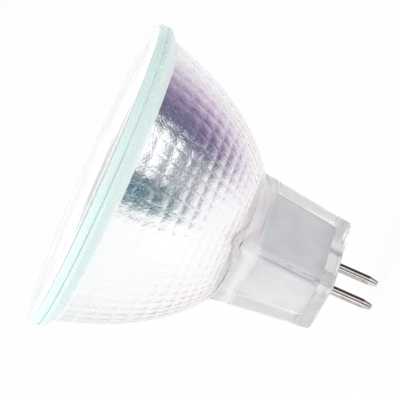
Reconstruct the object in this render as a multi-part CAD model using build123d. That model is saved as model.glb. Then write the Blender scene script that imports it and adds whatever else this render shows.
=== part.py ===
"""Halogen reflector lamp, 50 mm across, with a cover glass and a two-pin glass base.

The lamp's axis is Z. The origin lies between the two pins, in the end face of the
base, so the pins point down and the cover glass faces up. All sizes are in millimetres.
"""

from build123d import *
import os
from math import cos, pi, sin

# Cover glass, bond line and rim
RIM_RADIUS = 25.0
COVER_THICKNESS = 1.4
COVER_EDGE_BREAK = 0.2
SEAL_THICKNESS = 0.1
SEAL_WIDTH = 1.8
SEAL_RECESS = 0.3
FLANGE_THICKNESS = 0.6
FLANGE_TAPER = 1.9
FLANGE_EDGE_ROUND = 0.4
NICK_RADIUS = 0.6

# Reflecting surface: a parabola from mouth to neck, bent about its knee
RIM_LEDGE = 3.1
MOUTH_LAND = 0.9
BOWL_DEPTH = 23.6
KNEE_INSET = 5.3
KNEE_RISE = 3.4
NECK_RADIUS = 4.6
BOWL_WALL = 1.7
BOWL_SEAM_TURN = 45.0
FACETS_AROUND = 54
FACET_RINGS = 18
FACET_CROWDING = 0.49

# Base block, which tapers from the bowl to its end face
BASE_HEIGHT = 15.0
BASE_END_WIDTH = 15.4
BASE_END_DEPTH = 11.0
BASE_NECK_WIDTH = 17.2
BASE_NECK_DEPTH = 14.0
BASE_OVERLAP = 2.2
BASE_CORNER_ROUND = 1.2
BASE_CAVITY_ROUND = 0.6
BASE_FOOT_ROUND = 1.2
BASE_END_ROUND = 0.7
BASE_SIDE_WALL = 1.6
BASE_FACE_WALL = 2.2
BASE_END_WALL = 2.2
CEMENT_DROP = 1.8

# Contact pins
PIN_SPACING = 5.33
PIN_RADIUS = 0.75
PIN_LENGTH = 7.5
PIN_TIP_LENGTH = 1.5
PIN_TIP_RADIUS = 0.45
PIN_TIP_ROUND = 0.3
PIN_ROOT = 1.8
PIN_ROOT_RADIUS = 0.6
PIN_CLEARANCE = 0.05

# Quartz capsule
CAPSULE_RADIUS = 4.6
CAPSULE_WALL = 0.8
CAPSULE_HEIGHT = 12.0
CAPSULE_LIFT = 1.4
CAPSULE_FOOT_ROUND = 2.0
EXHAUST_TIP_RADIUS = 1.0
EXHAUST_TIP_HEIGHT = 1.6
PINCH_WIDTH = 9.2
PINCH_DEPTH = 3.2
PINCH_LENGTH = 10.0
PINCH_ROUND = 0.5

# Wires and foils inside the capsule
COIL_RADIUS = 0.55
COIL_WIRE_RADIUS = 0.14
COIL_PITCH = 0.8
COIL_HALF_TURNS = 19
COIL_LIFT = 1.0
SPUD_LENGTH = 1.2
SPUD_CLEARANCE = 0.02
SUPPORT_RADIUS = 0.12
SUPPORT_ROOT = 2.0
LOOP_CLEARANCE = 0.03
FOIL_WIDTH = 2.0
FOIL_THICKNESS = 0.1
FOIL_LENGTH = 5.5
OUTER_LEAD_RADIUS = 0.3
OUTER_LEAD_IN_PINCH = 1.6
CRIMP_DEPTH = 1.4

# Heights and radii that follow from the sizes above
SEAT_Z = BASE_HEIGHT + BOWL_DEPTH
FLANGE_BACK_Z = SEAT_Z - FLANGE_THICKNESS
COVER_BACK_Z = SEAT_Z + SEAL_THICKNESS
BLOCK_TOP_Z = BASE_HEIGHT + BASE_OVERLAP
PIN_ROOT_Z = BASE_END_WALL + PIN_ROOT
CAPSULE_FOOT_Z = BASE_HEIGHT + CAPSULE_LIFT
CAPSULE_SHOULDER_Z = CAPSULE_FOOT_Z + CAPSULE_HEIGHT
PINCH_END_Z = CAPSULE_FOOT_Z + CAPSULE_WALL - PINCH_LENGTH
VOID_FOOT_Z = CAPSULE_FOOT_Z + CAPSULE_WALL
COIL_FOOT_Z = VOID_FOOT_Z + COIL_LIFT
COIL_TOP_Z = COIL_FOOT_Z + COIL_PITCH * COIL_HALF_TURNS / 2
FOIL_FOOT_Z = PINCH_END_Z + OUTER_LEAD_IN_PINCH
FOIL_TOP_Z = FOIL_FOOT_Z + FOIL_LENGTH
LEAD_RADIUS = COIL_RADIUS - COIL_WIRE_RADIUS - SPUD_CLEARANCE
LEG_X = PIN_SPACING / 2
MOUTH_RADIUS = RIM_RADIUS - RIM_LEDGE

MOUTH = Vector(MOUTH_RADIUS, 0, SEAT_Z - MOUTH_LAND)
KNEE = Vector(MOUTH_RADIUS - KNEE_INSET, 0, BASE_HEIGHT + KNEE_RISE)
NECK = Vector(NECK_RADIUS, 0, BASE_HEIGHT)


def rod(radius, foot, top, x=0.0):
    """Returns an upright round rod between two heights."""
    return Pos(x, 0, foot) * Cylinder(radius, top - foot, align=(Align.CENTER, Align.CENTER, Align.MIN))


def outward(start, end):
    """Returns the unit normal of a stretch of the bowl's profile, away from the light."""
    run = end - start
    return Vector(-run.Z, 0, run.X).normalized()


def profile_points(wall):
    """Returns mouth, knee and neck of the bowl's profile, a wall's thickness outside the film."""
    side = outward(MOUTH, KNEE)
    floor = outward(KNEE, NECK)
    knee_shift = (side + floor) * (wall / (1 + side.dot(floor)))
    return MOUTH + side * wall, KNEE + knee_shift, NECK + floor * wall


def make_bowl():
    """Returns the solid bowl with its flange, its seam over a corner of the base."""
    mouth, knee, neck = profile_points(BOWL_WALL)
    side = Bezier(neck, knee, mouth)
    rest = Polyline(mouth, (mouth.X, 0, SEAT_Z), (0, 0, SEAT_Z), (0, 0, neck.Z), neck)
    bowl = revolve(make_face([side, rest]), Axis.Z)
    return Rot(0, 0, BOWL_SEAM_TURN) * (bowl + make_flange())


def make_flange():
    """Returns the solid rim flange, whose back slopes in to the bowl's wall."""
    foot = Vector(MOUTH_RADIUS + BOWL_WALL / 2, 0, FLANGE_BACK_Z - FLANGE_TAPER)
    edge = Polyline((RIM_RADIUS, 0, SEAT_Z), (RIM_RADIUS, 0, FLANGE_BACK_Z), foot)
    rest = Polyline(foot, (0, 0, foot.Z), (0, 0, SEAT_Z), (RIM_RADIUS, 0, SEAT_Z))
    flange = revolve(make_face([edge, rest]), Axis.Z)
    back_edge = flange.edges().filter_by(GeomType.CIRCLE).group_by(SortBy.RADIUS)[-1].sort_by(Axis.Z)[0]
    return fillet(back_edge, FLANGE_EDGE_ROUND)


def base_section(height, side_inset, face_inset, corner):
    """Returns the base's rounded rectangle at one height, drawn in by an inset each way."""
    share = height / BASE_HEIGHT
    width = BASE_END_WIDTH + share * (BASE_NECK_WIDTH - BASE_END_WIDTH) - 2 * side_inset
    depth = BASE_END_DEPTH + share * (BASE_NECK_DEPTH - BASE_END_DEPTH) - 2 * face_inset
    return Pos(0, 0, height) * RectangleRounded(width, depth, corner)


def make_block():
    """Returns the solid base block, with the edge of its end face rounded."""
    block = loft([base_section(height, 0, 0, BASE_CORNER_ROUND) for height in (0, BLOCK_TOP_Z)])
    end_edges = block.faces().sort_by(Axis.Z)[0].edges()
    return fillet(end_edges, BASE_END_ROUND)


def base_hollow(top):
    """Returns the room inside the base block, up to a height."""
    return loft(
        [
            base_section(height, BASE_SIDE_WALL, BASE_FACE_WALL, BASE_CAVITY_ROUND)
            for height in (BASE_END_WALL, top)
        ]
    )


def facet_ring(share):
    """Returns the corners of one ring of facets, a share of the way from mouth to neck."""
    crowded = share + FACET_CROWDING * share * (1 - share)
    middle = MOUTH * (1 - crowded) ** 2 + KNEE * (2 * crowded * (1 - crowded)) + NECK * crowded**2
    turn = 2 * pi / FACETS_AROUND
    return [
        Vector(middle.X * cos(i * turn), middle.X * sin(i * turn), middle.Z) for i in range(FACETS_AROUND)
    ]


def faceted_hollow():
    """Returns the bowl's room, a closed body of flat facets from mouth to neck."""
    rings = [facet_ring(i / FACET_RINGS) for i in range(FACET_RINGS + 1)]
    outlines = [rings[0], rings[-1]]
    for upper, lower in zip(rings, rings[1:]):
        for i in range(FACETS_AROUND):
            j = (i + 1) % FACETS_AROUND
            outlines.append([upper[i], upper[j], lower[j], lower[i]])
    faces = [Face(Wire.make_polygon(outline, close=True)) for outline in outlines]
    return Solid(Shell(faces))


def make_reflector():
    """Returns the pressed-glass reflector: bowl, flange and hollow base in one piece."""
    bowl = make_bowl()
    block = make_block()
    glass = bowl + block
    glass = fillet(new_edges(bowl, block, combined=glass), BASE_FOOT_ROUND)
    glass -= faceted_hollow()
    glass -= rod(MOUTH_RADIUS, SEAT_Z - MOUTH_LAND, SEAT_Z)
    glass -= base_hollow(BLOCK_TOP_Z)
    for x in (-LEG_X, LEG_X):
        glass -= rod(PIN_ROOT_RADIUS + PIN_CLEARANCE, 0, BASE_END_WALL, x)
    nick = rod(NICK_RADIUS, FLANGE_BACK_Z - FLANGE_TAPER, SEAT_Z)
    for side in (-1, 1):
        glass -= Pos(0, side * (RIM_RADIUS + NICK_RADIUS / 2), 0) * nick
    return glass


def make_cover_glass():
    """Returns the flat cover glass, with both edges of its rim broken."""
    disc = rod(RIM_RADIUS, COVER_BACK_Z, COVER_BACK_Z + COVER_THICKNESS)
    return chamfer(disc.edges().filter_by(GeomType.CIRCLE), COVER_EDGE_BREAK)


def make_cover_seal():
    """Returns the bond line between the flange and the cover glass."""
    outer = RIM_RADIUS - SEAL_RECESS
    return rod(outer, SEAT_Z, COVER_BACK_Z) - rod(outer - SEAL_WIDTH, SEAT_Z, COVER_BACK_Z)


def make_lead_in(x):
    """Returns the wire that stands on a foil and carries one leg of the coil."""
    return rod(LEAD_RADIUS, FOIL_TOP_Z, COIL_FOOT_Z + SPUD_LENGTH, x)


def make_foil(x):
    """Returns one sealing foil, which lies in the middle of the pinch."""
    foil = Box(FOIL_WIDTH, FOIL_THICKNESS, FOIL_LENGTH, align=(Align.CENTER, Align.CENTER, Align.MIN))
    return Pos(x, 0, FOIL_FOOT_Z) * foil


def make_outer_lead(x):
    """Returns the wire from a foil down into the bore of a contact pin."""
    return rod(OUTER_LEAD_RADIUS, PIN_ROOT_Z - CRIMP_DEPTH, FOIL_FOOT_Z, x)


def make_pin(x):
    """Returns one contact pin, with a tapered tip and a slim root bored for the outer lead."""
    taper = Cone(
        PIN_TIP_RADIUS, PIN_RADIUS, PIN_TIP_LENGTH, align=(Align.CENTER, Align.CENTER, Align.MIN)
    )
    tip = fillet(taper.edges().filter_by(GeomType.CIRCLE).sort_by(Axis.Z)[0], PIN_TIP_ROUND)
    pin = Pos(0, 0, -PIN_LENGTH) * tip + rod(PIN_RADIUS, PIN_TIP_LENGTH - PIN_LENGTH, 0)
    pin += rod(PIN_ROOT_RADIUS, 0, PIN_ROOT_Z)
    pin -= rod(OUTER_LEAD_RADIUS, PIN_ROOT_Z - CRIMP_DEPTH, PIN_ROOT_Z)
    return Pos(x, 0, 0) * pin


def make_filament():
    """Returns the coiled wire: two legs on the leads, and the link across their tops."""
    height = COIL_TOP_Z - COIL_FOOT_Z
    path = Helix(COIL_PITCH, height, COIL_RADIUS)
    section = Plane(path @ 0, z_dir=path % 0) * Circle(COIL_WIRE_RADIUS)
    leg = Pos(LEG_X, 0, COIL_FOOT_Z) * sweep(section, path, is_frenet=True)
    inner_x = LEG_X - COIL_RADIUS
    link = Pos(0, 0, COIL_TOP_Z) * Rot(0, 90, 0) * Cylinder(COIL_WIRE_RADIUS, 2 * inner_x)
    wire = leg + Rot(0, 0, 180) * leg + link
    for x in (-inner_x, inner_x):
        wire += Pos(x, 0, COIL_TOP_Z) * Sphere(COIL_WIRE_RADIUS)
    return wire


def make_filament_support():
    """Returns the wire that stands in the pinch, with a loop round the coil's link."""
    loop_radius = COIL_WIRE_RADIUS + LOOP_CLEARANCE + SUPPORT_RADIUS
    loop = Pos(0, 0, COIL_TOP_Z) * Rot(0, 90, 0) * Torus(loop_radius, SUPPORT_RADIUS)
    return loop + rod(SUPPORT_RADIUS, VOID_FOOT_Z - SUPPORT_ROOT, COIL_TOP_Z - loop_radius)


def capsule_body(radius, foot, foot_round):
    """Returns an upright round-footed body that ends in a half ball."""
    tube = rod(radius, foot, CAPSULE_SHOULDER_Z)
    foot_edge = tube.edges().filter_by(GeomType.CIRCLE).sort_by(Axis.Z)[0]
    return fillet(foot_edge, foot_round) + Pos(0, 0, CAPSULE_SHOULDER_Z) * Sphere(radius)


def pinch_body():
    """Returns the flat pinch seal below the capsule."""
    pinch = Box(PINCH_WIDTH, PINCH_DEPTH, PINCH_LENGTH, align=(Align.CENTER, Align.CENTER, Align.MIN))
    pinch = fillet(pinch.edges().filter_by(Axis.Z), PINCH_ROUND)
    return Pos(0, 0, PINCH_END_Z) * pinch


def make_capsule(wires):
    """Returns the quartz capsule with its pinch pressed round the given wires and foils."""
    top = CAPSULE_SHOULDER_Z + CAPSULE_RADIUS
    tip = Pos(0, 0, top) * Sphere(EXHAUST_TIP_RADIUS)
    tip += Pos(0, 0, top) * Cone(
        EXHAUST_TIP_RADIUS,
        EXHAUST_TIP_RADIUS / 4,
        EXHAUST_TIP_HEIGHT,
        align=(Align.CENTER, Align.CENTER, Align.MIN),
    )
    quartz = capsule_body(CAPSULE_RADIUS, CAPSULE_FOOT_Z, CAPSULE_FOOT_ROUND) + pinch_body() + tip
    inner_round = CAPSULE_FOOT_ROUND - CAPSULE_WALL
    quartz -= capsule_body(CAPSULE_RADIUS - CAPSULE_WALL, VOID_FOOT_Z, inner_round)
    for wire in wires:
        quartz -= wire
    return quartz


def make_cement(set_in):
    """Returns the potting that fills the base round the pinch, the leads and the pins."""
    potting = base_hollow(BASE_HEIGHT - CEMENT_DROP) - pinch_body()
    for piece in set_in:
        potting -= piece
    return potting


def main():
    """Builds every piece of the lamp and writes one file for each."""
    support = make_filament_support()
    pieces = {
        "reflector": make_reflector(),
        "cover_glass": make_cover_glass(),
        "cover_seal": make_cover_seal(),
        "filament": make_filament(),
        "filament_support": support,
    }
    sealed_in = [support]
    set_in = []
    for side, x in (("left", -LEG_X), ("right", LEG_X)):
        lead = make_lead_in(x)
        foil = make_foil(x)
        outer_lead = make_outer_lead(x)
        pin = make_pin(x)
        pieces[f"lead_in_{side}"] = lead
        pieces[f"foil_{side}"] = foil
        pieces[f"outer_lead_{side}"] = outer_lead
        pieces[f"contact_pin_{side}"] = pin
        sealed_in += [lead, foil, outer_lead]
        set_in += [outer_lead, pin]
    pieces["capsule"] = make_capsule(sealed_in)
    pieces["cement"] = make_cement(set_in)

    os.makedirs("parts", exist_ok=True)
    for name, piece in pieces.items():
        export_step(piece, f"parts/{name}.step")


main()
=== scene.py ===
"""Studio scene of a halogen reflector lamp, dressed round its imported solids.

The lamp stands in its own frame, in metres: the axis is Z, the two contact pins point
down from the origin and the cover glass faces up. Each sub-assembly is a class that
builds its meshes and gives them their finish.
"""

import logging
import math
from abc import ABC, abstractmethod
from dataclasses import dataclass
from enum import Enum

import bmesh
import bpy
from mathutils import Matrix, Vector


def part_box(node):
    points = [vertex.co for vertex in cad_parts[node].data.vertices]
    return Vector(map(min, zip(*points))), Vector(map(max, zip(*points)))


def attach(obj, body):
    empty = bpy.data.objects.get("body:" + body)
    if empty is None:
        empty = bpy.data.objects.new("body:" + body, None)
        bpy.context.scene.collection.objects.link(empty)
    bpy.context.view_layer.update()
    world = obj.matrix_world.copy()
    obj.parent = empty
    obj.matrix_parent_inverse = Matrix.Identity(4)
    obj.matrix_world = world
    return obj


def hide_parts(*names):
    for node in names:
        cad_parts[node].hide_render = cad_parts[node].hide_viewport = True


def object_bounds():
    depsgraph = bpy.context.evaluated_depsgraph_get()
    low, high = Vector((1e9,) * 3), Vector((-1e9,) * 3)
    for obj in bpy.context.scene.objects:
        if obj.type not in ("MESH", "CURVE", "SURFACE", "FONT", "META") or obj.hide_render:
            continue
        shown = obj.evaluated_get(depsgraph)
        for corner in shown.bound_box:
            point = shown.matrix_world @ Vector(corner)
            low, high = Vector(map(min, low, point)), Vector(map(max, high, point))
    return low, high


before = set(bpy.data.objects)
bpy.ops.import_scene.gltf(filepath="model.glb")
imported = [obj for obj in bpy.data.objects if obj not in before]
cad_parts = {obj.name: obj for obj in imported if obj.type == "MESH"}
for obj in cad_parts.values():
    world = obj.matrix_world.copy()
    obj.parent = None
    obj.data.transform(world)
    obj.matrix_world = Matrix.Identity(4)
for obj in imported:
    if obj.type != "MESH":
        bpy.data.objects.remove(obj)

LOG = logging.getLogger("lamp")
CAD_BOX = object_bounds()
MM = 0.001
FULL_TURN = 360.0
MERGE_REACH = 1e-7
PRESSED_IOR = 1.48
QUARTZ_IOR = 1.46
Colour = tuple[float, float, float]
Triple = tuple[float, float, float]
Span = tuple[float, float]
Socket = bpy.types.NodeSocket
WHITE: Colour = (1.0, 1.0, 1.0)
WHOLE: Span = (0.0, 1.0)


class Ray(Enum):
    """Kinds of ray that a background treats in its own way, by their Light Path names."""

    CAMERA = "Is Camera Ray"
    MATT = "Diffuse Depth"
    THROUGH = "Transmission Depth"


class Skin(Enum):
    """Slots of a glass piece, in the order that its faces name them."""

    CLEAR = 0
    RIM = 1
    FILM = 2
    BASE = 3


class Side(Enum):
    """The two sides of the lamp's wiring, as the names of its solids have them."""

    LEFT = "left"
    RIGHT = "right"


@dataclass(frozen=True)
class Grain:
    """A noise: its features to the metre, its detail, and the span of values that counts."""

    scale: float
    detail: float
    span: Span = (0.3, 0.7)


@dataclass(frozen=True)
class Relief:
    """A bump: its strength, and its depth in metres."""

    strength: float
    depth: float


class Shader:
    """A material's or world's node tree, with short ways to add and join nodes."""

    def __init__(self, owner: bpy.types.Material | bpy.types.World) -> None:
        """Empties the owner's tree.

        Args:
            owner: The material or world whose nodes are made.
        """
        owner.use_nodes = True
        self.tree = owner.node_tree
        self.tree.nodes.clear()

    def add(self, kind: str, **inputs: object) -> bpy.types.Node:
        """Adds a node and fills its inputs.

        Args:
            kind: The node's type name, without the ShaderNode in front.
            inputs: Values or sockets by input name, with underscores for spaces.

        Returns:
            The new node.
        """
        node = self.tree.nodes.new(f"ShaderNode{kind}")
        for name, value in inputs.items():
            self.feed(node.inputs[name.replace("_", " ")], value)
        return node

    def feed(self, socket: Socket, value: object) -> None:
        """Links a socket or sets its value.

        Args:
            socket: The input to fill.
            value: An output socket, a number, or a colour or vector.
        """
        if isinstance(value, Socket):
            self.tree.links.new(value, socket)
        elif isinstance(value, tuple) and socket.type == "RGBA":
            socket.default_value = (*value, 1.0)
        else:
            socket.default_value = value

    def math(self, operation: str, *values: Socket | float, clamp: bool = False) -> Socket:
        """Adds a Math node.

        Args:
            operation: The node's operation.
            values: Sockets or numbers for its inputs, in order.
            clamp: Whether the result is kept between 0 and 1.

        Returns:
            The node's output.
        """
        node = self.tree.nodes.new("ShaderNodeMath")
        node.operation = operation
        node.use_clamp = clamp
        for socket, value in zip(node.inputs, values):
            self.feed(socket, value)
        return node.outputs[0]

    def product(self, first: Socket, *others: Socket | float) -> Socket:
        """Multiplies values.

        Args:
            first: The first value.
            others: What it is multiplied by, one after the other.

        Returns:
            The product.
        """
        result = first
        for other in others:
            result = self.math("MULTIPLY", result, other)
        return result

    def dot(self, vector: Socket, direction: Triple) -> Socket:
        """Works out a vector's share along a fixed direction.

        Args:
            vector: The vector.
            direction: The direction.

        Returns:
            The share.
        """
        node = self.tree.nodes.new("ShaderNodeVectorMath")
        node.operation = "DOT_PRODUCT"
        self.feed(node.inputs[0], vector)
        node.inputs[1].default_value = direction
        return node.outputs["Value"]

    def spread(self, value: Socket, edge: Span) -> Socket:
        """Turns a value into a smooth step.

        Args:
            value: The value.
            edge: Where the step starts, and where it is full.

        Returns:
            The step, from 0 to 1.
        """
        node = self.add("MapRange", Value=value, From_Min=edge[0], From_Max=edge[1])
        node.interpolation_type = "SMOOTHSTEP"
        return node.outputs["Result"]

    def rescale(self, value: Socket, span: Span, ends: Span) -> Socket:
        """Maps a value from a span to two ends, and keeps it within them.

        Args:
            value: The value.
            span: The values that go to the ends.
            ends: What comes out for the two of them.

        Returns:
            The mapped value.
        """
        node = self.add("MapRange", Value=value, From_Min=span[0], From_Max=span[1])
        node.inputs["To Min"].default_value, node.inputs["To Max"].default_value = ends
        return node.outputs["Result"]

    def ramp(self, value: Socket, stops: list[tuple[float, Colour]]) -> Socket:
        """Adds a colour ramp.

        Args:
            value: What runs along the ramp, from 0 to 1.
            stops: Place and colour of each stop, in order.

        Returns:
            The ramp's colour.
        """
        node = self.add("ValToRGB", Fac=value)
        elements = node.color_ramp.elements
        while len(elements) < len(stops):
            elements.new(1.0)
        for element, (place, colour) in zip(elements, stops):
            element.position = place
            element.color = (*colour, 1.0)
        return node.outputs["Color"]

    def blend(self, share: Socket, first: Socket | Colour, second: Socket | Colour) -> Socket:
        """Blends two colours.

        Args:
            share: The share of the second colour, from 0 to 1.
            first: The first colour.
            second: The second colour.

        Returns:
            The blended colour.
        """
        node = self.tree.nodes.new("ShaderNodeMix")
        node.data_type = "RGBA"
        for name, value in (("Factor_Float", share), ("A_Color", first), ("B_Color", second)):
            socket = next(s for s in node.inputs if s.identifier == name)
            self.feed(socket, value)
        return next(s for s in node.outputs if s.identifier == "Result_Color")

    def place(self, stretch: Triple = (1.0, 1.0, 1.0)) -> Socket:
        """Returns the piece's own coordinates in metres, stretched along its axes."""
        source = self.add("TexCoord").outputs["Object"]
        return self.add("Mapping", Vector=source, Scale=stretch).outputs["Vector"]

    def height(self, place: Socket) -> Socket:
        """Returns the height of a place in the lamp's frame."""
        return self.add("SeparateXYZ", Vector=place).outputs["Z"]

    def noise(self, place: Socket, grain: Grain) -> Socket:
        """Returns a noise at a place, from 0 to 1."""
        return self.add("TexNoise", Vector=place, Scale=grain.scale, Detail=grain.detail).outputs["Fac"]

    def mottle(self, place: Socket, grain: Grain, ends: Span) -> Socket:
        """Returns a noise at a place, run between two ends."""
        return self.rescale(self.noise(place, grain), grain.span, ends)

    def patches(self, place: Socket, grain: Grain) -> Socket:
        """Returns soft patches of a noise at a place, from 0 to 1."""
        return self.spread(self.noise(place, grain), grain.span)

    def wavy_height(self, place: Socket, drift: Grain, wander: float) -> Socket:
        """Returns the height of a place, which drifts up and down by a wander."""
        return self.math("ADD", self.height(place), self.mottle(place, drift, (-wander, wander)))

    def bump(self, height: Socket, relief: Relief) -> Socket:
        """Returns a normal bent by a height, as strong and deep as a relief."""
        node = self.add("Bump", Height=height, Strength=relief.strength, Distance=relief.depth)
        return node.outputs["Normal"]

    def surface(self, shader: bpy.types.Node, target: str = "OutputMaterial") -> None:
        """Ends the tree with a shader."""
        output = self.tree.nodes.new(f"ShaderNode{target}")
        self.tree.links.new(shader.outputs[0], output.inputs["Surface"])


@dataclass(frozen=True)
class Finish(ABC):
    """A finish of the lamp's pieces, which paints a material of its name."""

    name: str

    def material(self) -> bpy.types.Material:
        """Makes a material and paints it.

        Returns:
            The new material.
        """
        made = bpy.data.materials.new(self.name)
        shader = Shader(made)
        shader.surface(self.paint(shader))
        return made

    @abstractmethod
    def paint(self, shader: Shader) -> bpy.types.Node:
        """Paints the finish, in each kind's own way.

        Args:
            shader: The material's tree.

        Returns:
            The surface node.
        """


@dataclass(frozen=True)
class Glass(Finish):
    """Polished clear glass with faint waves from its making."""

    tint: Colour = (0.985, 0.995, 0.99)
    ior: float = PRESSED_IOR
    roughness: Span = (0.0, 0.04)
    waves: Grain = Grain(140.0, 1.0)
    grease: Grain = Grain(840.0, 4.0, (0.45, 0.8))
    relief: Relief = Relief(0.25, 0.04 * MM)

    def paint(self, shader: Shader) -> bpy.types.Node:
        """Paints the glass, see-through and here and there a little greasy.

        Args:
            shader: The material's tree.

        Returns:
            The surface node.
        """
        place = shader.place()
        return shader.add(
            "BsdfPrincipled",
            Base_Color=self.tint,
            Transmission_Weight=1.0,
            IOR=self.ior,
            Roughness=shader.mottle(place, self.grease, self.roughness),
            Normal=shader.bump(shader.noise(place, self.waves), self.relief),
        )


@dataclass(frozen=True, kw_only=True)
class MouldedGlass(Glass):
    """Moulded base glass, clear along its walls and milky at its foot and its joint to the bowl, where a
    faint pink in its colour is a painted sheen.
    """

    foot_height: float
    joint_height: float
    foot_tint: Colour = (0.82, 0.82, 0.83)
    # Milky white at the joint, with a faint pink cast that is a painted sheen of the film's reflection.
    joint_milk_and_sheen_tint: Colour = (1.0, 0.99, 0.995)
    foot_clearness: float = 0.65
    joint_clearness: float = 0.55
    soft: float = 0.75 * MM
    wander: float = 0.3 * MM
    drift: Grain = Grain(200.0, 0.0)
    roughness: Span = (0.1, 0.2)
    milk_roughness: float = 0.07

    def paint(self, shader: Shader) -> bpy.types.Node:
        """Paints the glass with a clearness that changes softly with height, and a painted pink sheen at the
        joint.

        Args:
            shader: The material's tree.

        Returns:
            The surface node.
        """
        place = shader.place()
        height = shader.wavy_height(place, self.drift, self.wander)
        foot = shader.spread(height, (self.foot_height + self.soft, self.foot_height - self.soft))
        joint = shader.spread(height, (self.joint_height - self.soft, self.joint_height + self.soft))
        foot_clearness = shader.rescale(foot, WHOLE, (1.0, self.foot_clearness))
        joint_clearness = shader.rescale(joint, WHOLE, (1.0, self.joint_clearness))
        milk = shader.rescale(shader.math("MAXIMUM", foot, joint), WHOLE, (0.0, self.milk_roughness))
        grease = shader.mottle(place, self.grease, self.roughness)
        walls = shader.blend(foot, self.tint, self.foot_tint)
        return shader.add(
            "BsdfPrincipled",
            # The joint's colour carries the painted pink sheen.
            Base_Color=shader.blend(joint, walls, self.joint_milk_and_sheen_tint),
            Transmission_Weight=shader.product(foot_clearness, joint_clearness),
            IOR=self.ior,
            Roughness=shader.math("ADD", grease, milk),
            Normal=shader.bump(shader.noise(place, self.waves), self.relief),
        )


@dataclass(frozen=True)
class GroundRim(Finish):
    """Ground glass edge, aqua where light gathers in it and paler towards the bowl."""

    tint: Colour = (0.80, 0.965, 0.945)
    pale: Colour = (0.87, 0.965, 0.95)
    pale_height: float = 36.3 * MM
    tint_height: float = 37.6 * MM
    wander: float = 0.2 * MM
    drift: Grain = Grain(300.0, 3.0)
    clearness: float = 0.15
    roughness: Span = (0.25, 0.32)
    grain: Grain = Grain(700.0, 2.0)
    relief: Relief = Relief(0.06, 0.01 * MM)

    def paint(self, shader: Shader) -> bpy.types.Node:
        """Paints the edge milky, with a tint that rises with height.

        Args:
            shader: The material's tree.

        Returns:
            The surface node.
        """
        place = shader.place()
        height = shader.wavy_height(place, self.drift, self.wander)
        tinted = shader.spread(height, (self.pale_height, self.tint_height))
        grain = shader.noise(place, self.grain)
        return shader.add(
            "BsdfPrincipled",
            Base_Color=shader.blend(tinted, self.pale, self.tint),
            Transmission_Weight=self.clearness,
            IOR=PRESSED_IOR,
            Roughness=shader.rescale(grain, self.grain.span, self.roughness),
            Normal=shader.bump(grain, self.relief),
        )


@dataclass(frozen=True)
class DichroicFilm(Finish):
    """Mirror film of many thin layers, whose tint runs from the neck to the mouth."""

    neck_height: float
    mouth_height: float
    tints: tuple[tuple[float, Colour], ...] = (
        (0.0, (0.99, 0.955, 0.96)),
        (0.35, (0.985, 0.96, 0.98)),
        (0.7, (0.98, 0.975, 0.99)),
        (1.0, (0.975, 0.985, 0.99)),
    )
    wander: float = 0.12
    drift: Grain = Grain(90.0, 2.0)
    roughness: Span = (0.08, 0.2)
    grain: Grain = Grain(3000.0, 4.0)
    hammer: Grain = Grain(1100.0, 2.0)
    relief: Relief = Relief(0.4, 0.06 * MM)

    def paint(self, shader: Shader) -> bpy.types.Node:
        """Paints the film as a bright, faintly hammered metal.

        Args:
            shader: The material's tree.

        Returns:
            The surface node.
        """
        place = shader.place()
        height = shader.rescale(shader.height(place), (self.neck_height, self.mouth_height), WHOLE)
        drift = shader.mottle(place, self.drift, (-self.wander, self.wander))
        along = shader.math("ADD", height, drift, clamp=True)
        grain = shader.noise(place, self.grain)
        hammered = shader.math("ADD", grain, shader.noise(place, self.hammer))
        return shader.add(
            "BsdfPrincipled",
            Base_Color=shader.ramp(along, list(self.tints)),
            Metallic=1.0,
            Roughness=shader.rescale(grain, self.grain.span, self.roughness),
            Normal=shader.bump(hammered, self.relief),
        )


@dataclass(frozen=True)
class DrawnMetal(Finish):
    """Wire or pin metal with fine marks along its length."""

    colour: Colour
    stain: Colour
    roughness: Span
    mark_stretch: Triple = (1.0, 1.0, 0.04)
    marks: Grain = Grain(2500.0, 4.0)
    stains: Grain = Grain(500.0, 3.0, (0.45, 0.75))
    relief: Relief = Relief(0.12, 0.02 * MM)

    def paint(self, shader: Shader) -> bpy.types.Node:
        """Paints the metal, streaked along Z and faintly stained.

        Args:
            shader: The material's tree.

        Returns:
            The surface node.
        """
        marks = shader.noise(shader.place(self.mark_stretch), self.marks)
        stained = shader.patches(shader.place(), self.stains)
        return shader.add(
            "BsdfPrincipled",
            Base_Color=shader.blend(stained, self.colour, self.stain),
            Metallic=1.0,
            Roughness=shader.rescale(marks, self.marks.span, self.roughness),
            Normal=shader.bump(marks, self.relief),
        )


@dataclass(frozen=True)
class MattFinish(Finish):
    """Matt mineral or cured paste with grain and soft patches."""

    colour: Colour
    patch_colour: Colour
    roughness: Span
    grain: Grain
    patch: Grain
    relief: Relief

    def paint(self, shader: Shader) -> bpy.types.Node:
        """Paints the matt finish with its grain as bump.

        Args:
            shader: The material's tree.

        Returns:
            The surface node.
        """
        place = shader.place()
        grain = shader.noise(place, self.grain)
        return shader.add(
            "BsdfPrincipled",
            Base_Color=shader.blend(shader.patches(place, self.patch), self.colour, self.patch_colour),
            Roughness=shader.rescale(grain, self.grain.span, self.roughness),
            Normal=shader.bump(grain, self.relief),
        )


def piece_from(name: str, mesh: bmesh.types.BMesh, *finishes: Finish) -> bpy.types.Object:
    """Turns a bmesh into a piece of the lamp that rides on its one body.

    Args:
        name: The piece's name.
        mesh: The shape, in metres in the lamp's frame. It is freed.
        finishes: The finishes, in the order of the faces' slots.

    Returns:
        The new object.
    """
    data = bpy.data.meshes.new(name)
    mesh.to_mesh(data)
    mesh.free()
    for finish in finishes:
        data.materials.append(finish.material())
    piece = bpy.data.objects.new(name, data)
    bpy.context.scene.collection.objects.link(piece)
    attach(piece, "root")
    LOG.info("%s: %d faces", name, len(data.polygons))
    return piece


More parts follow.
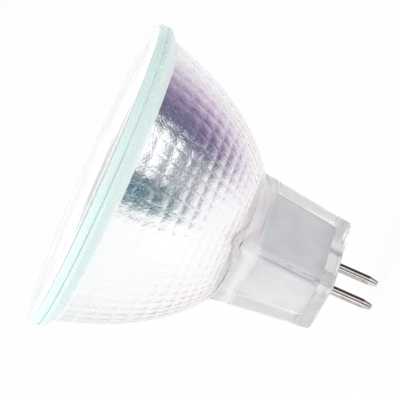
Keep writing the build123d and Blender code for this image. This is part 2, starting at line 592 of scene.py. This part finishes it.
def merged_copy(node: str) -> bmesh.types.BMesh:
    """Copies a solid's mesh and merges its loose triangles.

    Args:
        node: The solid's name in the frame.

    Returns:
        The merged mesh, to be changed at will.
    """
    mesh = bmesh.new()
    mesh.from_mesh(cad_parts[node].data)
    bmesh.ops.remove_doubles(mesh, verts=mesh.verts, dist=MERGE_REACH)
    return mesh


def drawn_in(node: str, share: Triple) -> bmesh.types.BMesh:
    """Copies a solid, drawn in a hair so that it stands clear of the glass round it.

    Args:
        node: The solid's name in the frame.
        share: What is left of its size along each axis.

    Returns:
        The smaller mesh, about the same middle.
    """
    low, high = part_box(node)
    mesh = merged_copy(node)
    bmesh.ops.scale(mesh, vec=share, space=Matrix.Translation(-(low + high) / 2), verts=mesh.verts)
    return mesh


def shade_by_angle(mesh: bmesh.types.BMesh, angle: float) -> None:
    """Makes faces smooth, with sharp edges where two faces meet at more than an angle.

    Args:
        mesh: The mesh to shade.
        angle: The sharpest smooth edge, in degrees.
    """
    limit = math.radians(angle)
    for face in mesh.faces:
        face.smooth = True
    for edge in mesh.edges:
        edge.smooth = len(edge.link_faces) == 2 and edge.calc_face_angle(0.0) < limit


def looks_in(face: bmesh.types.BMFace) -> bool:
    """Tells whether a face looks in at the lamp's axis."""
    centre = face.calc_center_median()
    return centre.x * face.normal.x + centre.y * face.normal.y < 0


def edges_of(faces: list[bmesh.types.BMFace]) -> set[bmesh.types.BMEdge]:
    """Returns the edges of some faces."""
    return {edge for face in faces for edge in face.edges}


def dress(node: str, material: bpy.types.Material) -> None:
    """Gives a solid that keeps its shape a material.

    Args:
        node: The solid's name in the frame.
        material: Its material.
    """
    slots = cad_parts[node].data.materials
    slots.clear()
    slots.append(material)
    LOG.info("%s: dressed", node)


@dataclass
class Reflector:
    """Pressed-glass bowl with its hollow base, and the film on its facets.

    The heights come first, from the foot of the base up to the mouth. The dish of a facet
    has a sloped wall and a floor that sinks a little more, and a facet smaller than the full
    one gets a lower wall.
    """

    milky_foot: float = 2.3 * MM
    joint_foot: float = 12.9 * MM
    neck_foot: float = 13.25 * MM
    film_foot: float = 14.95 * MM
    neck_top: float = 15.05 * MM
    joint_top: float = 15.8 * MM
    rim_foot: float = 36.2 * MM
    facet_top: float = 37.72 * MM
    rim_inside: float = 22.4 * MM
    least_slope: float = 0.12
    flat_angle: float = 0.4
    smooth_angle: float = 38.0
    dish_wall_share: float = 0.22
    dish_wall: float = 0.062 * MM
    dish_floor: float = 0.031 * MM
    full_facet: float = 1.9 * MM

    def build(self) -> bpy.types.Object:
        """Builds the reflector with dished facets in place of the flat ones.

        Returns:
            The piece that stands for the solid reflector.
        """
        mesh = merged_copy("reflector")
        mesh.normal_update()
        for height in (self.rim_foot, self.neck_foot, self.joint_top):
            self.part(mesh, height)
        self.join_facets(mesh)
        shade_by_angle(mesh, self.smooth_angle)
        for face in mesh.faces:
            face.material_index = self.skin_of(face).value
        self.dish(mesh)
        piece = piece_from(
            "reflector_glass",
            mesh,
            Glass("pressed_clear_glass"),
            GroundRim("pressed_rim_glass"),
            DichroicFilm("dichroic_film", self.film_foot, self.facet_top),
            MouldedGlass("moulded_base_glass", foot_height=self.milky_foot, joint_height=self.joint_foot),
        )
        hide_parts("reflector")
        return piece

    def part(self, mesh: bmesh.types.BMesh, height: float) -> None:
        """Cuts all but the facets at a height where one skin gives way to another.

        Args:
            mesh: The reflector's mesh.
            height: Where the cut lies.
        """
        plain = [face for face in mesh.faces if not self.is_facet(face)]
        corners = {corner for face in plain for corner in face.verts}
        bmesh.ops.bisect_plane(
            mesh, geom=[*plain, *edges_of(plain), *corners], plane_co=(0, 0, height), plane_no=(0, 0, 1)
        )

    def join_facets(self, mesh: bmesh.types.BMesh) -> None:
        """Joins the triangles of each facet into one flat face.

        Args:
            mesh: The reflector's mesh.
        """
        chosen = {face for face in mesh.faces if self.is_facet(face)}
        seams = [edge for edge in mesh.edges if all(face in chosen for face in edge.link_faces)]
        bmesh.ops.dissolve_limit(mesh, angle_limit=math.radians(self.flat_angle), verts=[], edges=seams)

    def dish(self, mesh: bmesh.types.BMesh) -> None:
        """Presses each facet into a shallow dish with soft edges, lower where facets are small.

        Args:
            mesh: The reflector's mesh.
        """
        facets = [face for face in mesh.faces if self.is_facet(face)]
        LOG.info("facets: %d", len(facets))
        soft = edges_of(facets)
        for facet in facets:
            reach = math.sqrt(facet.calc_area())
            share = min(1.0, (reach / self.full_facet) ** 2)
            bmesh.ops.inset_individual(
                mesh, faces=[facet], thickness=self.dish_wall_share * reach, depth=-self.dish_wall * share
            )
        soft |= edges_of(facets)
        floors = bmesh.ops.poke(mesh, faces=facets, offset=-self.dish_floor)["faces"]
        soft |= edges_of(floors)
        for edge in soft:
            edge.smooth = True

    def is_facet(self, face: bmesh.types.BMFace) -> bool:
        """Tells whether a face is one of the facets, which look up and in at the axis."""
        in_bowl = self.film_foot < face.calc_center_median().z < self.facet_top
        return looks_in(face) and in_bowl and face.normal.z > self.least_slope

    def in_neck(self, face: bmesh.types.BMFace) -> bool:
        """Tells whether a face is in the room over the potting, where some of the film settles."""
        return looks_in(face) and self.neck_foot < face.calc_center_median().z < self.neck_top

    def in_mouth(self, face: bmesh.types.BMFace) -> bool:
        """Tells whether a face is on the short upright wall between the facets and the rim.

        Args:
            face: A face of the reflector.

        Returns:
            Whether it is on that wall.
        """
        centre = face.calc_center_median()
        upright = abs(face.normal.z) < self.least_slope
        above = centre.z > self.facet_top and math.hypot(centre.x, centre.y) < self.rim_inside
        return looks_in(face) and upright and above

    def skin_of(self, face: bmesh.types.BMFace) -> Skin:
        """Chooses the skin of a face by its place.

        Args:
            face: A face of the reflector.

        Returns:
            Film inside the bowl and its neck, moulded glass outside the base and its joint,
            ground glass on the rim, and clear glass elsewhere.
        """
        if self.is_facet(face) or self.in_neck(face) or self.in_mouth(face):
            return Skin.FILM
        centre = face.calc_center_median()
        if centre.z < self.joint_top and not looks_in(face):
            return Skin.BASE
        on_rim = math.hypot(centre.x, centre.y) > self.rim_inside and centre.z > self.rim_foot
        return Skin.RIM if on_rim else Skin.CLEAR


@dataclass
class CoverGlass:
    """Flat front glass with its bond line to the rim."""

    segments: int = 192
    edge_round: float = 0.25 * MM
    round_segments: int = 3
    corner_angle: float = 60.0
    smooth_angle: float = 40.0
    face_slope: float = 0.9
    bond_share: Triple = (1.0, 1.0, 0.9)
    clear: Glass = Glass("cover_clear_glass", relief=Relief(0.25, 0.002 * MM))
    edge: GroundRim = GroundRim("cover_edge_glass")
    paste: MattFinish = MattFinish(
        "bond_line",
        colour=(0.80, 0.88, 0.87),
        patch_colour=(0.86, 0.92, 0.91),
        roughness=(0.42, 0.58),
        grain=Grain(900.0, 6.0),
        patch=Grain(150.0, 2.0, (0.35, 0.7)),
        relief=Relief(0.4, 0.02 * MM),
    )

    def build(self) -> bpy.types.Object:
        """Builds the disc with a rounded edge, and its bond line.

        Returns:
            The piece that stands for the solid cover glass.
        """
        low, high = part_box("cover_glass")
        mesh = bmesh.new()
        bmesh.ops.create_cone(
            mesh,
            cap_ends=True,
            segments=self.segments,
            radius1=high.x,
            radius2=high.x,
            depth=high.z - low.z,
            matrix=Matrix.Translation((0, 0, (low.z + high.z) / 2)),
        )
        corner = math.radians(self.corner_angle)
        bmesh.ops.bevel(
            mesh,
            geom=[edge for edge in mesh.edges if edge.calc_face_angle(0.0) > corner],
            offset=self.edge_round,
            segments=self.round_segments,
            profile=0.5,
            affect="EDGES",
            material=-1,
        )
        shade_by_angle(mesh, self.smooth_angle)
        for face in mesh.faces:
            flat = abs(face.normal.z) > self.face_slope
            face.material_index = (Skin.CLEAR if flat else Skin.RIM).value
        piece = piece_from("front_glass", mesh, self.clear, self.edge)
        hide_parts("cover_glass")
        self.bond()
        return piece

    def bond(self) -> bpy.types.Object:
        """Builds the bond line a hair clear of both glasses.

        Returns:
            The piece that stands for the solid bond line.
        """
        mesh = drawn_in("cover_seal", self.bond_share)
        shade_by_angle(mesh, self.smooth_angle)
        piece = piece_from("bond_ring", mesh, self.paste)
        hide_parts("cover_seal")
        return piece


@dataclass
class Base:
    """Potting inside the glass base, and the two contact pins."""

    potting_share: Triple = (0.992, 0.992, 0.992)
    smooth_angle: float = 30.0
    potting: MattFinish = MattFinish(
        "white_potting",
        colour=(0.73, 0.73, 0.745),
        patch_colour=(0.66, 0.66, 0.68),
        roughness=(0.77, 0.93),
        grain=Grain(1500.0, 6.0),
        patch=Grain(250.0, 2.0, (0.35, 0.7)),
        relief=Relief(0.4, 0.1 * MM),
    )
    nickel: DrawnMetal = DrawnMetal("nickel_plate", (0.74, 0.69, 0.67), (0.62, 0.53, 0.50), (0.04, 0.1))

    def build(self) -> bpy.types.Object:
        """Builds the potting a hair clear of the glass and dresses the pins.

        Returns:
            The piece that stands for the solid potting.
        """
        mesh = drawn_in("cement", self.potting_share)
        shade_by_angle(mesh, self.smooth_angle)
        piece = piece_from("potting", mesh, self.potting)
        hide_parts("cement")
        plate = self.nickel.material()
        for side in Side:
            dress(f"contact_pin_{side.value}", plate)
        return piece


@dataclass
class Burner:
    """Quartz capsule with its filament, wires and foils."""

    quartz: Glass = Glass("clear_quartz", ior=QUARTZ_IOR)
    tungsten: DrawnMetal = DrawnMetal("tungsten_wire", (0.34, 0.34, 0.36), (0.22, 0.22, 0.25), (0.3, 0.5))
    lead: DrawnMetal = DrawnMetal("lead_wire", (0.55, 0.55, 0.57), (0.42, 0.41, 0.42), (0.2, 0.4))
    seal: DrawnMetal = DrawnMetal("seal_foil", (0.58, 0.56, 0.53), (0.47, 0.44, 0.42), (0.15, 0.3))

    def build(self) -> None:
        """Dresses the capsule and everything sealed in it."""
        dress("capsule", self.quartz.material())
        dress("filament", self.tungsten.material())
        wire = self.lead.material()
        foil = self.seal.material()
        dress("filament_support", wire)
        for side in Side:
            dress(f"lead_in_{side.value}", wire)
            dress(f"outer_lead_{side.value}", wire)
            dress(f"foil_{side.value}", foil)


class Outlook:
    """The way in which a ray leaves the lamp, as sockets of a world's tree."""

    def __init__(self, shader: Shader) -> None:
        """Takes the way apart.

        Args:
            shader: The world's tree.
        """
        self.shader = shader
        self.way = shader.add("TexCoord").outputs["Generated"]
        axes = shader.add("SeparateXYZ", Vector=self.way)
        front = shader.math("MULTIPLY", axes.outputs["Y"], -1.0)
        self.side = axes.outputs["X"]
        self.height = axes.outputs["Z"]
        self.turn = shader.math("ARCTAN2", self.side, front)
        self.path = shader.add("LightPath")

    def ray(self, kind: Ray) -> Socket:
        """Returns what the ray's path says of a kind of ray."""
        return self.path.outputs[kind.value]

    def rises(self, edge: Span) -> Socket:
        """Returns a smooth step over the height."""
        return self.shader.spread(self.height, edge)

    def turns(self, edge: Span) -> Socket:
        """Returns a smooth step over the turn, whose edge is in degrees."""
        return self.shader.spread(self.turn, (math.radians(edge[0]), math.radians(edge[1])))

    def nears(self, way: Triple, edge: Span) -> Socket:
        """Returns a smooth step over the share that points along a way."""
        return self.shader.spread(self.shader.dot(self.way, way), edge)

    def off(self, value: Socket, middle: float) -> Socket:
        """Returns how far a value is from a middle, on either side."""
        return self.shader.math("ABSOLUTE", self.shader.math("SUBTRACT", value, middle))


@dataclass
class Surround:
    """Soft white room round the lamp, with what its glass and film mirror.

    A way is a direction out from the lamp, a height is the upward share of such a direction,
    and a turn is in degrees round the axis, from the front to the right. A pair of numbers is
    a soft edge, from where it starts to where it is full.
    """

    dim_turns: tuple[tuple[float, Colour], ...] = (
        (-68.0, WHITE),
        (-59.0, (0.14, 0.26, 0.31)),
        (-45.0, (0.05, 0.14, 0.19)),
        (-20.0, (0.10, 0.12, 0.18)),
        (27.0, (0.10, 0.12, 0.19)),
        (46.0, (0.16, 0.12, 0.24)),
        (62.0, (0.36, 0.27, 0.43)),
        (80.0, (0.66, 0.54, 0.68)),
        (100.0, WHITE),
    )
    dim_top: Span = (-0.16, -0.34)
    dim_foot: Span = (-0.98, -0.70)
    window: Colour = (1.15, 1.15, 1.15)
    window_left: Span = (-35.0, -27.0)
    window_right: Span = (22.0, 14.0)
    window_foot: Span = (-0.73, -0.65)
    dark: Colour = (0.06, 0.06, 0.06)
    dark_height: float = -0.1
    dark_reach: Span = (0.14, 0.08)
    card_way: Triple = (0.682, -0.731, 0.0)
    card_edge: Span = (0.72, 0.82)
    lens_turn: float = -47.0
    lens_radians: Span = (0.32, 0.2)
    haze: Colour = (0.72, 0.71, 0.72)
    haze_edge: Span = (0.55, 0.85)
    haze_reach: Span = (0.45, 0.25)
    bright: Colour = (1.4, 1.4, 1.4)
    bright_side: Span = (-0.25, -0.75)
    strip_way: Triple = (0.731, 0.682, 0.0)
    strip_edge: Span = (0.6, 0.9)
    strip_foot: Span = (0.02, 0.07)
    strip_top: Span = (0.3, 0.2)
    ceiling: Colour = (0.55, 0.56, 0.58)
    ceiling_foot: Span = (0.35, 0.6)
    softbox_way: Triple = (-0.58, 0.41, 0.70)
    softbox_edge: Span = (0.80, 0.86)
    matt_bright: Colour = (1.08, 1.08, 1.08)
    matt_dim: Colour = (0.70, 0.70, 0.70)
    matt_edge: Span = (-0.6, 0.6)

    def build(self) -> None:
        """Builds the room as the scene's world: plain to matt surfaces and white to the camera."""
        world = bpy.data.worlds.new("surround")
        bpy.context.scene.world = world
        shader = Shader(world)
        out = Outlook(shader)
        mirrored = shader.blend(self.darkened(out), self.room(out), self.dark)
        plain = shader.blend(shader.spread(out.side, self.matt_edge), self.matt_bright, self.matt_dim)
        lit = shader.blend(shader.math("MINIMUM", out.ray(Ray.MATT), 1.0), mirrored, plain)
        seen = shader.blend(out.ray(Ray.CAMERA), lit, WHITE)
        shader.surface(shader.add("Background", Color=seen, Strength=1.0), "OutputWorld")

    def room(self, out: Outlook) -> Socket:
        """Lays a dim band, below the lamp's level, into the open room.

        Args:
            out: The way out from the lamp.

        Returns:
            The room's colour.
        """
        band = out.shader.product(out.rises(self.dim_top), out.rises(self.dim_foot))
        hazy = out.shader.blend(self.hazed(out), self.open_room(out), self.haze)
        return out.shader.blend(band, hazy, self.dim_band(out))

    def dim_band(self, out: Outlook) -> Socket:
        """Runs the dim side's colours round the lamp and opens a white window in them.

        Args:
            out: The way out from the lamp.

        Returns:
            The band's colour.
        """
        shader = out.shader
        along = shader.rescale(out.turn, (-math.pi, math.pi), WHOLE)
        dim = shader.ramp(along, [(turn / FULL_TURN + 0.5, colour) for turn, colour in self.dim_turns])
        opening = shader.product(
            out.turns(self.window_left), out.turns(self.window_right), out.rises(self.window_foot)
        )
        return shader.blend(opening, dim, self.window)

    def open_room(self, out: Outlook) -> Socket:
        """Paints white walls, with a bright side and a bright strip, under a grey ceiling with a softbox.

        Args:
            out: The way out from the lamp.

        Returns:
            The open room's colour.
        """
        shader = out.shader
        strip = shader.product(
            out.nears(self.strip_way, self.strip_edge), out.rises(self.strip_foot), out.rises(self.strip_top)
        )
        bright = shader.math("MAXIMUM", shader.spread(out.side, self.bright_side), strip)
        walls = shader.blend(bright, WHITE, self.bright)
        roof = shader.blend(out.nears(self.softbox_way, self.softbox_edge), self.ceiling, self.bright)
        return shader.blend(out.rises(self.ceiling_foot), walls, roof)

    def hazed(self, out: Outlook) -> Socket:
        """Finds the two flanks of the room, level with the lamp, where it is a little grey.

        Args:
            out: The way out from the lamp.

        Returns:
            The share of haze.
        """
        shader = out.shader
        flank = shader.math("ABSOLUTE", shader.dot(out.way, self.card_way))
        level = shader.math("ABSOLUTE", out.height)
        return shader.product(shader.spread(flank, self.haze_edge), shader.spread(level, self.haze_reach))

    def darkened(self, out: Outlook) -> Socket:
        """Finds the dark card and the camera's own dark, which show in metal but not through glass.

        Args:
            out: The way out from the lamp.

        Returns:
            The share of dark.
        """
        shader = out.shader
        lens = shader.spread(out.off(out.turn, math.radians(self.lens_turn)), self.lens_radians)
        either = shader.math("MAXIMUM", out.nears(self.card_way, self.card_edge), lens)
        level = shader.spread(out.off(out.height, self.dark_height), self.dark_reach)
        straight = shader.math("SUBTRACT", 1.0, out.ray(Ray.THROUGH), clamp=True)
        return shader.product(either, level, straight)


@dataclass(frozen=True)
class FloorPaper(Finish):
    """Pale paper that shows white to the camera, save for the lamp's shadow."""

    pale: Colour = (0.9, 0.9, 0.9)
    white: Colour = (0.93, 0.93, 0.93)
    grain: Grain = Grain(400.0, 3.0)
    white_share: float = 0.9

    def paint(self, shader: Shader) -> bpy.types.Node:
        """Paints the paper.

        Args:
            shader: The material's tree.

        Returns:
            The surface node.
        """
        grain = shader.noise(shader.place(), self.grain)
        matt = shader.add("BsdfDiffuse", Color=shader.blend(grain, self.pale, self.white))
        white = shader.add("Emission", Color=WHITE, Strength=1.0)
        seen = shader.add("LightPath").outputs[Ray.CAMERA.value]
        mix = shader.add("MixShader", Fac=shader.product(seen, self.white_share))
        shader.tree.links.new(matt.outputs[0], mix.inputs[1])
        shader.tree.links.new(white.outputs[0], mix.inputs[2])
        return mix


@dataclass
class Studio:
    """Pale floor, soft surround and one soft lamp."""

    floor_size: float = 8.0
    key_spot: Triple = (-0.5, 0.35, 0.6)
    key_aim: Triple = (0.0, 0.0, 0.02)
    key_size: float = 0.5
    key_power: float = 2.0
    bounces: int = 16

    def build(self) -> None:
        """Builds the floor, the surround and the lamp, and lets light run through the glass."""
        self.lay_floor()
        Surround().build()
        self.hang_key()
        cycles = bpy.context.scene.cycles
        cycles.max_bounces = 2 * self.bounces
        cycles.glossy_bounces = self.bounces
        cycles.blur_glossy = 0.0
        cycles.transmission_bounces = self.bounces

    def lay_floor(self) -> None:
        """Lays the floor under the pins, unseen by mirrors and through glass."""
        mesh = bmesh.new()
        bmesh.ops.create_grid(mesh, x_segments=1, y_segments=1, size=self.floor_size / 2)
        bmesh.ops.translate(mesh, vec=(0, 0, CAD_BOX[0][2]), verts=mesh.verts)
        data = bpy.data.meshes.new("floor")
        mesh.to_mesh(data)
        mesh.free()
        data.materials.append(FloorPaper("floor_paper").material())
        floor = bpy.data.objects.new("floor", data)
        bpy.context.scene.collection.objects.link(floor)
        floor.visible_glossy = False
        floor.visible_transmission = False

    def hang_key(self) -> None:
        """Hangs the square soft lamp so that it faces the middle of the object."""
        data = bpy.data.lights.new("key", "AREA")
        data.size = self.key_size
        data.energy = self.key_power
        lamp = bpy.data.objects.new("key", data)
        lamp.location = self.key_spot
        ahead = Vector(self.key_aim) - Vector(self.key_spot)
        lamp.rotation_euler = ahead.to_track_quat("-Z", "Y").to_euler()
        bpy.context.scene.collection.objects.link(lamp)


@dataclass
class PhotoCamera:
    """Long lens at the photograph's angle, rolled so that the lamp lies on its side.

    The pivot is a point on the lamp's axis. The photograph shows it right of and below its
    middle, by the two offsets in pixels.
    """

    azimuth: float = -47.0
    elevation: float = 5.85
    roll: float = -66.18
    distance: float = 600.0 * MM
    frame_width: float = 61.63 * MM
    pivot: Triple = (0.0, 0.0, 20.1 * MM)
    pivot_right: float = 12.0
    pivot_down: float = 24.2
    photo_width: float = 400.0
    sensor_width: float = 36.0
    nearest: float = 0.01
    farthest: float = 50.0

    def axes(self, back: Vector) -> tuple[Vector, Vector]:
        """Works out the image's axes, with the roll.

        Args:
            back: The way from the lamp back to the camera.

        Returns:
            The image's right and up.
        """
        level = Vector((0, 0, 1)).cross(back).normalized()
        upright = back.cross(level)
        turn = math.radians(self.roll)
        right = level * math.cos(turn) + upright * math.sin(turn)
        return right, back.cross(right)

    def build(self) -> bpy.types.Object:
        """Places the camera and makes it the scene's own.

        Returns:
            The camera object.
        """
        across = math.radians(self.azimuth)
        rise = math.radians(self.elevation)
        back = Vector(
            (math.sin(across) * math.cos(rise), -math.cos(across) * math.cos(rise), math.sin(rise))
        )
        right, up = self.axes(back)
        pixel = self.frame_width / self.photo_width
        spot = Vector(self.pivot) + back * self.distance
        aim = Vector(self.pivot) - right * self.pivot_right * pixel + up * self.pivot_down * pixel
        back = (spot - aim).normalized()
        right, up = self.axes(back)
        data = bpy.data.cameras.new("photo_camera")
        data.sensor_width = self.sensor_width
        data.lens = self.sensor_width * self.distance / self.frame_width
        data.clip_start = self.nearest
        data.clip_end = self.farthest
        camera = bpy.data.objects.new("photo_camera", data)
        turn = Matrix((right, up, back)).transposed().to_4x4()
        camera.matrix_world = Matrix.Translation(spot) @ turn
        bpy.context.scene.collection.objects.link(camera)
        bpy.context.scene.camera = camera
        return camera


def main() -> None:
    """Builds the camera, the studio and the lamp, piece by piece."""
    logging.basicConfig(level=logging.INFO, format="%(name)s: %(message)s")
    bpy.context.scene.view_settings.view_transform = "Standard"
    PhotoCamera().build()
    Studio().build()
    for part in (Reflector(), CoverGlass(), Base(), Burner()):
        part.build()


if __name__ == "__main__":
    main()
